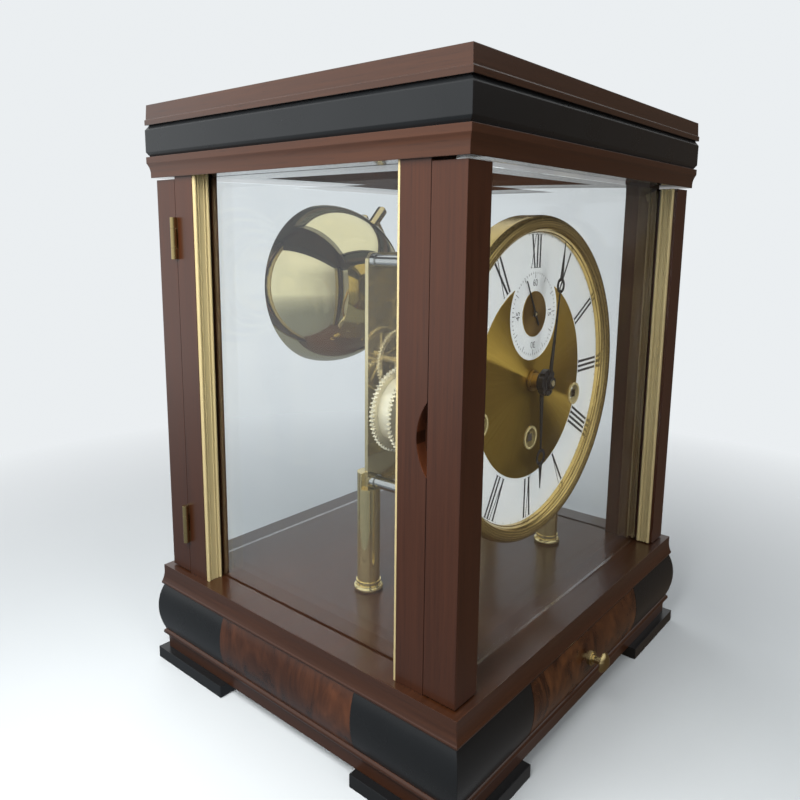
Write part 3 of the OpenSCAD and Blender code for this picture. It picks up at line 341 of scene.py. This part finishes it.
def sunburst(name, centre, small, small_radius):
    """Gold disc brushed in rays from its centre. Its lower half is darkened as painted shade, and two
    opposite wedges are a painted highlight: there the gold loses metal, so the lamps light it bright. The
    small seconds disc has rays of its own."""
    mat, tree, shader = new_material(name, Anisotropic=0.9, Roughness=0.45)
    wide, near = arm_from(tree, centre), arm_from(tree, small)
    inside = maths(tree, "LESS_THAN", length_of(tree, near), small_radius)
    arm = blend_vector(tree, inside, wide, near)
    axis = parts(tree, arm)
    angle = maths(tree, "ARCTAN2", axis[2], axis[0])
    reach = maths(tree, "MULTIPLY", length_of(tree, arm), RAY_CHANGES_PER_METRE)
    ray = add(tree, "CombineXYZ", {0: maths(tree, "MULTIPLY", angle, RAYS_PER_RADIAN), 1: reach}).outputs[0]
    brushed = noise(tree, ray, detail=3.0, rough=0.7)
    colour = blend_colour(tree, spread(tree, brushed, *NOISE_BAND), GOLD_DARK, GOLD_LIGHT)
    # Painted shade: the lower half of the disc is darkened by angle
    shade = spread(tree, maths(tree, "SINE", angle), -0.9, 0.1, 0.5, 1.0)
    colour = blend_colour(tree, shade, BLACK, colour)
    colour = blend_colour(tree, inside, colour, SECONDS_GOLD)
    # Painted highlight: two opposite wedges, set by angle, lose metal so the lamps light them bright
    ripple = maths(tree, "ADD", angle, maths(tree, "MULTIPLY", brushed, 0.05))
    turn = maths(tree, "FLOORED_MODULO", maths(tree, "SUBTRACT", WEDGE_ANGLE, ripple), math.pi)
    rise, fall = spread(tree, turn, 0.0, WEDGE_RISE), spread(tree, turn, WEDGE_WIDTH, WEDGE_FULL)
    outside = maths(tree, "SUBTRACT", 1.0, inside)
    painted_highlight = maths(tree, "MULTIPLY", maths(tree, "MULTIPLY", rise, fall), outside)
    glow = spread(tree, painted_highlight, 0.0, 1.0, 0.06, 0.66)
    tangent = vector_maths(tree, "NORMALIZE", vector_maths(tree, "CROSS_PRODUCT", arm, DIAL_AXIS))
    feed(tree, shader, Base_Color=colour, Metallic=maths(tree, "SUBTRACT", 1.0, glow), Tangent=tangent)
    bump(tree, shader, brushed, 0.01 * MM, 0.3)
    return mat


def reeded(name, centre, colour, pitch):
    """Turned gold ring with fine concentric reeding at the given pitch on its front, its grooves darkened as
    painted shade; its drum wall is plain.
    """
    mat, tree, shader = new_material(name, Metallic=0.9)
    radius = length_of(tree, arm_from(tree, centre))
    wave = maths(tree, "SINE", maths(tree, "MULTIPLY", radius, 2.0 * math.pi / pitch))
    smear = noise(tree, place(tree), scale=34.0, detail=4.0, distortion=0.6)
    ahead = maths(tree, "LESS_THAN", parts(tree, normal(tree))[1], FRONT_FACE)
    groove_shade = maths(tree, "MULTIPLY", spread(tree, wave, -1.0, 0.2, 0.7, 0.0), ahead)
    base = blend_colour(tree, spread(tree, smear, *SMEAR_BAND), colour, times(colour, 0.75))
    # Painted shade: the grooves of the reeding are darkened
    base = blend_colour(tree, groove_shade, base, times(colour, 0.3))
    feed(tree, shader, Base_Color=base, Roughness=spread(tree, smear, *WEAR_BAND, 0.14, 0.24))
    bump(tree, shader, wave, 0.1 * MM, 0.4, edge=0.3 * MM)
    return mat


def hand_finish(name, brass_from=None):
    """Black hand and nut; what lies behind brass_from, where it is given, is the plain brass collet."""
    mat, tree, shader = new_material(name)
    haze = noise(tree, place(tree), scale=300.0, detail=3.0)
    colour = blend_colour(tree, haze, HAND_DARK, HAND_LIGHT)
    if brass_from is not None:
        bare = maths(tree, "GREATER_THAN", parts(tree, place(tree))[1], brass_from)
        colour = blend_colour(tree, bare, colour, COLLET_BRASS)
        feed(tree, shader, Metallic=bare)
    feed(tree, shader, Base_Color=colour, Roughness=spread(tree, haze, *NOISE_BAND, 0.24, 0.4))
    bump(tree, shader, haze, 0.02 * MM, 0.2, edge=0.2 * MM)
    return mat


# Dial paint and glass

ENAMEL_GREY, ENAMEL_WHITE = (0.85, 0.87, 0.88), (0.89, 0.90, 0.90)
INK_DARK, INK_LIGHT = (0.012, 0.013, 0.017), (0.035, 0.037, 0.045)
GLASS_CLEAN, GLASS_FILMED, GLASS_SHADOW = (0.93, 0.95, 0.955), (0.89, 0.915, 0.925), (0.95, 0.97, 0.97)
FILM_BAND = (0.4, 0.75)
THIN_PANE_IOR, GLASS_IOR = 1.04, 1.5


def enamel(name):
    """White dial paint with a faint mottle and a fine tooth."""
    mat, tree, shader = new_material(name, Coat_Weight=0.3, Coat_Roughness=0.12)
    mottle = noise(tree, place(tree), scale=55.0, detail=4.0)
    grain = noise(tree, place(tree), scale=2400.0, detail=2.0)
    colour = blend_colour(tree, spread(tree, mottle, *WEAR_BAND), ENAMEL_GREY, ENAMEL_WHITE)
    feed(tree, shader, Base_Color=colour, Roughness=spread(tree, mottle, *NOISE_BAND, 0.36, 0.46))
    bump(tree, shader, grain, 0.01 * MM, 0.15)
    return mat


def ink(name):
    mat, tree, shader = new_material(name)
    wear = noise(tree, place(tree), scale=900.0, detail=3.0)
    colour = blend_colour(tree, wear, INK_DARK, INK_LIGHT)
    feed(tree, shader, Base_Color=colour, Roughness=spread(tree, wear, *NOISE_BAND, 0.35, 0.5))
    return mat


def clear_glass(name):
    """Thin clear pane: it hardly bends the view, its gloss comes from a clear coat, and light passes it."""
    mat, tree, shader = new_material(name, Transmission_Weight=1.0, IOR=THIN_PANE_IOR, Coat_Weight=1.0,
                                     Coat_IOR=GLASS_IOR, Coat_Roughness=0.0)
    film = noise(tree, place(tree), scale=14.0, detail=5.0)
    tint = blend_colour(tree, spread(tree, film, *FILM_BAND), GLASS_CLEAN, GLASS_FILMED)
    feed(tree, shader, Base_Color=tint, Roughness=spread(tree, film, *FILM_BAND, 0.0, 0.03))
    shadow = add(tree, "LightPath").outputs["Is Shadow Ray"]
    open_ray = add(tree, "BsdfTransparent", {"Color": (*GLASS_SHADOW, 1.0)}).outputs[0]
    show(tree, mix_shaders(tree, shadow, shader.outputs[0], open_ray))
    return mat


# Finishes, and the nodes that wear them

BROWN = (0.0225, 0.0074, 0.0028), (0.0365, 0.0122, 0.0046)
# TOP_BROWN is the board walnut darkened to about 0.8 as painted shade for the top board, under a heavier coat
TOP_BROWN = (0.0180, 0.0062, 0.0025), (0.0290, 0.0102, 0.0042)
RED = (0.0225, 0.0066, 0.0025), (0.0370, 0.0112, 0.0043)
RAW_WOOD = (0.16, 0.085, 0.042), (0.30, 0.18, 0.10)
BURL = (0.014, 0.0044, 0.0020), (0.074, 0.0255, 0.0105)
FLAME = (0.016, 0.0048, 0.0018), (0.092, 0.0340, 0.0105)
# Lighter red painted into the finger notch as painted light
NOTCH_PAINTED_RED = (0.100, 0.031, 0.013)
POLISHED = {"depth": 0.001 * MM, "edge": 0.0}

FINISHES = {
    "board": walnut("board_walnut", "EDGE", *BROWN),
    "top": walnut("top_walnut", "EDGE", *TOP_BROWN, coat=0.8),
    "cornice": walnut("cornice_walnut", "EDGE", *BROWN, relief=0.05, under=0.06),
    "floor": walnut("floor_walnut", "EDGE", *BROWN, coat=0.5, figure_share=0.3, relief=0.03),
    "upright": walnut("upright_walnut", "Z", *RED, figure_share=0.4, notch=NOTCH_PAINTED_RED),
    "plain": walnut("drawer_wood", "X", *RAW_WOOD, gloss=0.5, coat=0.1),
    "burl": burl("burl_walnut", *BURL, scale=40.0),
    "flame": burl("flame_walnut", *FLAME, scale=46.0),
    "black": lacquer("black_lacquer", (0.0040, 0.0045, 0.0050), gloss=0.28),
    "strip": satin("drawn_brass", (0.49, 0.405, 0.212), rough=0.36),
    "turned": metal("turned_brass", (0.88, 0.74, 0.40), rough=0.07, tarnish=0.1, depth=0.002 * MM,
                    metallic=0.95),
    "knob": metal("knob_brass", (0.70, 0.56, 0.28), rough=0.12, tarnish=0.15),
    "bell": metal("bell_brass", (0.92, 0.82, 0.49), rough=0.03, tarnish=0.06, **POLISHED),
    "plate": metal("plate_brass", (0.74, 0.63, 0.37), rough=0.07, tarnish=0.12, metallic=0.9, **POLISHED),
    "wheel": metal("wheel_brass", (0.80, 0.68, 0.41), rough=0.18, lines=WHEEL_MARKS, tarnish=0.15,
                   metallic=0.75),
    "drum": metal("drum_brass", (0.80, 0.74, 0.56), rough=0.2, lines=WHEEL_MARKS, tarnish=0.12,
                  metallic=0.7),
    "bezel": reeded("bezel_gold", DIAL, (0.82, 0.60, 0.22), BEZEL_PITCH),
    "ferrule": satin("ferrule_brass", (0.80, 0.66, 0.33), rough=0.22),
    "nickel": metal("nickel", (0.70, 0.70, 0.68), rough=0.1, lines=ARBOR_MARKS, tarnish=0.1),
    "hinge": metal("hinge_brass", (0.58, 0.45, 0.21), rough=0.22),
    "disc": sunburst("sunburst_gold", DIAL, SECONDS, SECONDS_DISC_RADIUS),
    "hand": hand_finish("hand_black"),
    "hour_hand": hand_finish("hour_hand_black", HOUR_HAND_FRONT + BEHIND_HAND),
    "enamel": enamel("dial_enamel"),
    "ink": ink("dial_ink"),
    "glass": clear_glass("clear_glass"),
}

WEARS = {
    "board": ["bottom_board"],
    "top": ["top_board"],
    "cornice": ["cornice_board"],
    "floor": ["base_board"],
    "upright": ["corner_posts", "front_stiles", "rear_stiles"],
    "plain": ["drawer_bay", "drawer_box"],
    "burl": ["burl_panels"],
    "flame": ["drawer_front"],
    "black": ["feet", "corner_blocks", "cornice_band"],
    "strip": ["side_strips", "front_strips", "rear_strips"],
    "turned": ["support_columns"],
    "knob": ["drawer_knob", "hammer_1", "hammer_2", "hammer_3", "hammer_4"],
    "bell": ["bells", "bell_stand"],
    "plate": ["front_plate", "rear_plate", "hammer_frame"],
    "wheel": ["centre_wheel", "hour_wheel", "minute_wheel", "third_wheel", "fourth_wheel", "inter_wheel",
              "escape_wheel", "balance", "strike_wheel", "chime_wheel"],
    "drum": ["time_barrel", "strike_barrel", "chime_barrel", "chime_drum"],
    "bezel": ["bezel"],
    "ferrule": ["winding_ferrules"],
    "nickel": ["plate_pillars", "time_arbor", "strike_arbor", "chime_arbor", "pallet_lever"],
    "hinge": ["post_hinges", "front_hinges", "rear_hinges"],
    "disc": ["centre_disc"],
    "hand": ["minute_hand", "seconds_hand"],
    "hour_hand": ["hour_hand"],
    "enamel": ["dial_plate"],
    "glass": ["case_glass", "front_glass", "rear_glass"],
}


def dress(piece, finish):
    """Gives every material slot of a piece one finish."""
    for slot in piece.material_slots:
        slot.material = FINISHES[finish]


for finish, names in WEARS.items():
    for name in names:
        dress(NODES[name], finish)


# New objects

def put(name, data):
    """Adds an object to the scene."""
    thing = bpy.data.objects.new(name, data)
    bpy.context.collection.objects.link(thing)
    return thing


def mesh_from(bm, name):
    """Turns a finished bmesh into a mesh."""
    mesh = bpy.data.meshes.new(name)
    bm.to_mesh(mesh)
    bm.free()
    return mesh


# Hands: slimmer pointers than their solids, on the same bosses

# A pointer lies farther than POINTER_FROM from the centre, and its blade within POINTER_HALF of its axis
POINTER_FROM, POINTER_HALF = 7.6 * MM, 1.1 * MM
SLIM_THICK = 0.5


def pointing(node):
    """Angle after twelve of a hand, from its farthest point."""
    tip = max((v.co - DIAL for v in NODES[node].data.vertices), key=lambda arm: arm.x ** 2 + arm.z ** 2)
    return math.atan2(tip.x, tip.z)


def slim_hand(node, body, finish, front, width):
    """Stands for a hand with a copy whose pointer is thinner, and its blade narrower by the given share;
    front is the pointer's face."""
    mesh = NODES[node].data.copy()
    mesh.name = node + "_slim"
    angle = pointing(node)
    out = Vector((math.sin(angle), 0.0, math.cos(angle)))
    side = Vector((math.cos(angle), 0.0, -math.sin(angle)))
    for vertex in mesh.vertices:
        arm = vertex.co - DIAL
        along, across = arm.dot(out), arm.dot(side)
        if along < POINTER_FROM or vertex.co.y > front + BEHIND_HAND:
            continue
        if abs(across) < POINTER_HALF:
            vertex.co += side * across * (width - 1.0)
        vertex.co.y = front + (vertex.co.y - front) * SLIM_THICK
    piece = put(node + "_slim", mesh)
    dress(piece, finish)
    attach(piece, body)
    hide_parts(node)


slim_hand("minute_hand", "minute", "hand", NUT_FRONT + NUT_THICK, width=0.5)
slim_hand("hour_hand", "hour", "hour_hand", HOUR_HAND_FRONT, width=0.65)


# Dial markings, drawn in dial millimetres: right, up

INK_LIFT = 0.03 * MM
NUMERALS = ("XII", "I", "II", "III", "IIII", "V", "VI", "VII", "VIII", "IX", "X", "XI")
ADVANCE = {"I": 2.9, "V": 5.1, "X": 5.1}
THICK, THIN, SERIF = 1.5, 0.6, 0.3
LEG_SPREAD, SERIF_REACH = 1.75, 0.55

# Radii of the numerals; the seconds ring leaves twelve less room
NUMERAL_FOOT, TWELVE_FOOT, NUMERAL_TOP = 55.0, 60.2, 77.3

# Inner radius, outer radius and width of the ticks
MINUTE_TICK = (77.3, 78.1, 0.4)
LONG_SECONDS_TICK, SHORT_SECONDS_TICK = (19.0, 22.2, 0.4), (21.1, 22.2, 0.42)

SECONDS_FIGURES, FIGURE_SIZE, FIGURE_RADIUS = ("60", "15", "30", "45"), 5.0, 16.4


def turned_point(point, degrees):
    """A point turned clockwise about the dial's centre."""
    a = -math.radians(degrees)
    return point[0] * math.cos(a) - point[1] * math.sin(a), point[0] * math.sin(a) + point[1] * math.cos(a)


def turned_faces(faces, degrees):
    return [[turned_point(p, degrees) for p in face] for face in faces]


def stroke(start, end, width):
    """A straight stroke of even width, as a quad."""
    start, end = Vector(start), Vector(end)
    run = end - start
    side = Vector((-run.y, run.x)).normalized() * width / 2
    return [tuple(p) for p in (start - side, end - side, end + side, start + side)]


def printed(name, faces, centre, surface):
    """One printed layer just in front of a face of the dial."""
    bm = bmesh.new()
    for face in faces:
        corners = [(centre.x + u * MM, surface - INK_LIFT, centre.z + v * MM) for u, v in face]
        bm.faces.new([bm.verts.new(corner) for corner in corners])
    bm.normal_update()
    for face in bm.faces:
        if face.normal.y > 0:
            face.normal_flip()
    piece = put(name, mesh_from(bm, name))
    piece.data.materials.append(FINISHES["ink"])
    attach(piece, "case")


def letter(sign, x, low, high):
    """Strokes of one Roman sign with its serifs, between the radii low and high."""
    left, right = x - LEG_SPREAD, x + LEG_SPREAD
    if sign == "I":
        legs = [((x, low), (x, high), THICK)]
    elif sign == "V":
        legs = [((x, low), (left, high), THICK), ((x, low), (right, high), THIN)]
    else:
        legs = [((right, low), (left, high), THICK), ((left, low), (right, high), THIN)]
    marks = [stroke(*leg) for leg in legs]
    for start, end, width in legs:
        reach = SERIF_REACH + width / 2
        marks += [stroke((u - reach, v), (u + reach, v), SERIF) for u, v in (start, end)]
    return marks


def numeral(hour):
    """Strokes of the numeral at an hour, its foot towards the centre; hour 0 is twelve."""
    signs = NUMERALS[hour]
    foot = NUMERAL_FOOT if hour else TWELVE_FOOT
    x = -sum(ADVANCE[s] for s in signs) / 2
    marks = []
    for sign in signs:
        marks += letter(sign, x + ADVANCE[sign] / 2, foot, NUMERAL_TOP)
        x += ADVANCE[sign]
    return turned_faces(marks, hour * 30)


def ring_of_ticks(count, low, high, width, skip=None):
    """Even ticks round a ring, without every skip-th one where skip is given."""
    tick = [stroke((0, low), (0, high), width)]
    return [turned_faces(tick, i * 360 / count)[0] for i in range(count) if not skip or i % skip]


def figure_faces(text, degrees):
    """Faces of a short number on the seconds ring, its top pointing outwards."""
    curve = bpy.data.curves.new("figure", "FONT")
    curve.body, curve.size = text, FIGURE_SIZE
    curve.align_x, curve.align_y = "CENTER", "CENTER"
    holder = put("figure", curve)
    mesh = holder.evaluated_get(bpy.context.evaluated_depsgraph_get()).to_mesh()
    points = [(v.co.x, v.co.y + FIGURE_RADIUS) for v in mesh.vertices]
    faces = turned_faces([[points[i] for i in p.vertices] for p in mesh.polygons], degrees)
    bpy.data.objects.remove(holder)
    bpy.data.curves.remove(curve)
    return faces


def print_dial():
    numerals = [face for hour in range(len(NUMERALS)) for face in numeral(hour)]
    ticks = ring_of_ticks(12, *LONG_SECONDS_TICK) + ring_of_ticks(60, *SHORT_SECONDS_TICK, skip=5)
    figures = [face for i, text in enumerate(SECONDS_FIGURES) for face in figure_faces(text, i * 90)]
    printed("hour_numerals", numerals, DIAL, DIAL_FACE)
    printed("minute_track", ring_of_ticks(60, *MINUTE_TICK), DIAL, DIAL_FACE)
    printed("seconds_track", ticks, SECONDS, DIAL_FACE)
    printed("seconds_figures", figures, SECONDS, DIAL_FACE)


print_dial()


# Stage: pale floor that fades into the background, soft light from the left

PALE, DIM = (0.83, 0.86, 0.88), (0.090, 0.070, 0.054)
OVERHEAD, AMBIENT = (0.93, 0.95, 0.96), (0.31, 0.32, 0.33)
FLOOR_GREY, FLOOR_PALE = (0.46, 0.49, 0.51), (0.50, 0.53, 0.55)
FLOOR_BOUNCE, MIRRORED_GROUND = (0.18, 0.19, 0.20), (0.22, 0.24, 0.26)

# Distances in metres over which the floor, as seen and as mirrored, turns into the background
SEEN_FADE, MIRRORED_FADE = (0.2, 0.6), (0.35, 1.2)
FLOOR_RADIUS, FLOOR_SIDES, FLOOR_DROP = 5.0, 96, 0.2 * MM

# The mirrored room is bright towards this side, right and back in plan, and dims where the viewer stands
BRIGHT_RIGHT, BRIGHT_BACK = -0.72, 0.69
BRIGHT_BAND, VIEWER_BAND, VIEWER_SHARE = (-0.75, 0.10), (-0.8, 0.0), 0.6
OVERHEAD_BAND = (0.28, 0.6)


def ray_kinds(tree):
    """1 for rays that see the backdrop straight or through glass, and 1 for rays mirrored by gloss."""
    path = add(tree, "LightPath").outputs
    clear = maths(tree, "SUBTRACT", 1.0, maths(tree, "MINIMUM", path["Diffuse Depth"], 1.0))
    glossy = maths(tree, "MINIMUM", path["Glossy Depth"], 1.0)
    straight = maths(tree, "MULTIPLY", clear, maths(tree, "SUBTRACT", 1.0, glossy))
    through = maths(tree, "MULTIPLY", path["Is Transmission Ray"], straight)
    view = maths(tree, "MAXIMUM", path["Is Camera Ray"], through)
    bounced = maths(tree, "MAXIMUM", path["Is Glossy Ray"], path["Is Transmission Ray"])
    mirror = maths(tree, "MULTIPLY", bounced, maths(tree, "MULTIPLY", clear, glossy))
    return view, mirror


def room_side(tree, axis):
    """From 0 on the room's dark side, ahead and to the right of the dial, to 1 behind and to the left;
    axis is a direction's X, Y and Z."""
    right = maths(tree, "MULTIPLY", axis[0], BRIGHT_RIGHT)
    lean = maths(tree, "ADD", right, maths(tree, "MULTIPLY", axis[1], BRIGHT_BACK))
    viewer = spread(tree, axis[1], *VIEWER_BAND, VIEWER_SHARE, 1.0)
    return maths(tree, "MULTIPLY", spread(tree, lean, *BRIGHT_BAND), viewer)


def floor_material():
    """Pale floor with the clock's shadow; the eye sees it fade, and gloss mirrors the room on it."""
    mat, tree, shader = new_material("pale_floor", Roughness=0.6)
    mottle = noise(tree, place(tree), scale=6.0, detail=3.0)
    colour = blend_colour(tree, mottle, FLOOR_GREY, FLOOR_PALE)
    view, mirror = ray_kinds(tree)
    feed(tree, shader, Base_Color=blend_colour(tree, view, FLOOR_BOUNCE, colour))
    away = length_of(tree, place(tree))
    far = add(tree, "Emission", {"Color": (*PALE, 1.0)}).outputs[0]
    fade = maths(tree, "MULTIPLY", view, spread(tree, away, *SEEN_FADE))
    seen = mix_shaders(tree, fade, shader.outputs[0], far)
    heading = parts(tree, vector_maths(tree, "NORMALIZE", place(tree)))
    ground = blend_colour(tree, spread(tree, away, *MIRRORED_FADE), MIRRORED_GROUND, PALE)
    room = blend_colour(tree, room_side(tree, heading), DIM, ground)
    gleam = add(tree, "Emission", {"Color": room}).outputs[0]
    show(tree, mix_shaders(tree, mirror, seen, gleam))
    return mat


def make_floor():
    bm = bmesh.new()
    bmesh.ops.create_circle(bm, cap_ends=True, segments=FLOOR_SIDES, radius=FLOOR_RADIUS)
    floor = put("floor", mesh_from(bm, "floor"))
    floor.location.z = -FLOOR_DROP
    floor.data.materials.append(floor_material())


def make_world():
    """Pale backdrop for the eye; the room that gloss mirrors is dark in front and bright overhead."""
    world = bpy.data.worlds.new("studio")
    bpy.context.scene.world = world
    world.use_nodes = True
    tree = world.node_tree
    view, mirror = ray_kinds(tree)
    axis = parts(tree, add(tree, "TexCoord").outputs["Generated"])
    room = blend_colour(tree, room_side(tree, axis), DIM, PALE)
    room = blend_colour(tree, spread(tree, axis[2], *OVERHEAD_BAND), room, OVERHEAD)
    light = blend_colour(tree, mirror, AMBIENT, room)
    feed(tree, tree.nodes["Background"], Color=blend_colour(tree, view, light, PALE))


def area_light(name, spot, target, size, power, colour=(1.0, 1.0, 1.0)):
    """A soft lamp that lights the clock and isn't mirrored in it."""
    lamp = bpy.data.lights.new(name, "AREA")
    lamp.shape = "RECTANGLE"
    lamp.size, lamp.size_y = size
    lamp.energy, lamp.color = power, colour
    lamp.cycles.use_multiple_importance_sampling = False
    holder = put(name, lamp)
    holder.location = spot
    holder.rotation_euler = (Vector(target) - Vector(spot)).to_track_quat("-Z", "Y").to_euler()
    holder.visible_glossy = False


# Camera fitted to the photograph, in the clock's own frame

CAMERA_AT = Vector((-336.30, -249.37, 254.57)) * MM
YAW, PITCH, ROLL = (math.radians(a) for a in (49.73, -9.77, 0.50))
FOCAL_PIXELS, FRAME_PIXELS = 716.44, 800
AIM_PIXEL = (393.76, 355.68)
SENSOR_WIDTH = 36.0
CLIP_NEAR, CLIP_FAR = 0.01, 50.0


def make_camera():
    data = bpy.data.cameras.new("photo_camera")
    data.sensor_width = SENSOR_WIDTH
    data.lens = FOCAL_PIXELS * SENSOR_WIDTH / FRAME_PIXELS
    data.shift_x = (FRAME_PIXELS / 2 - AIM_PIXEL[0]) / FRAME_PIXELS
    data.shift_y = (AIM_PIXEL[1] - FRAME_PIXELS / 2) / FRAME_PIXELS
    data.clip_start, data.clip_end = CLIP_NEAR, CLIP_FAR
    ahead = Vector((math.sin(YAW) * math.cos(PITCH), math.cos(YAW) * math.cos(PITCH), math.sin(PITCH)))
    right = Vector((math.cos(YAW), -math.sin(YAW), 0.0))
    up = right.cross(ahead)
    level = Matrix((right, up, -ahead)).transposed().to_4x4()
    camera = put("photo_camera", data)
    camera.matrix_world = Matrix.Translation(CAMERA_AT) @ level @ Matrix.Rotation(ROLL, 4, "Z")
    bpy.context.scene.camera = camera


make_floor()
make_world()
area_light("window_left", spot=(-0.38, -0.02, 0.43), target=(0.0, 0.0, 0.2), size=(0.36, 0.36), power=5.6,
           colour=(1.0, 0.99, 0.97))
area_light("front_fill", spot=(-0.15, -1.7, 0.65), target=(0.0, 0.0, 0.17), size=(1.2, 0.8), power=19.5,
           colour=(1.0, 0.98, 0.95))
area_light("back_rim", spot=(0.6, 1.5, 1.2), target=(0.0, 0.0, 0.2), size=(1.2, 0.8), power=10.0)
make_camera()
bpy.context.scene.view_settings.view_transform = "Standard"
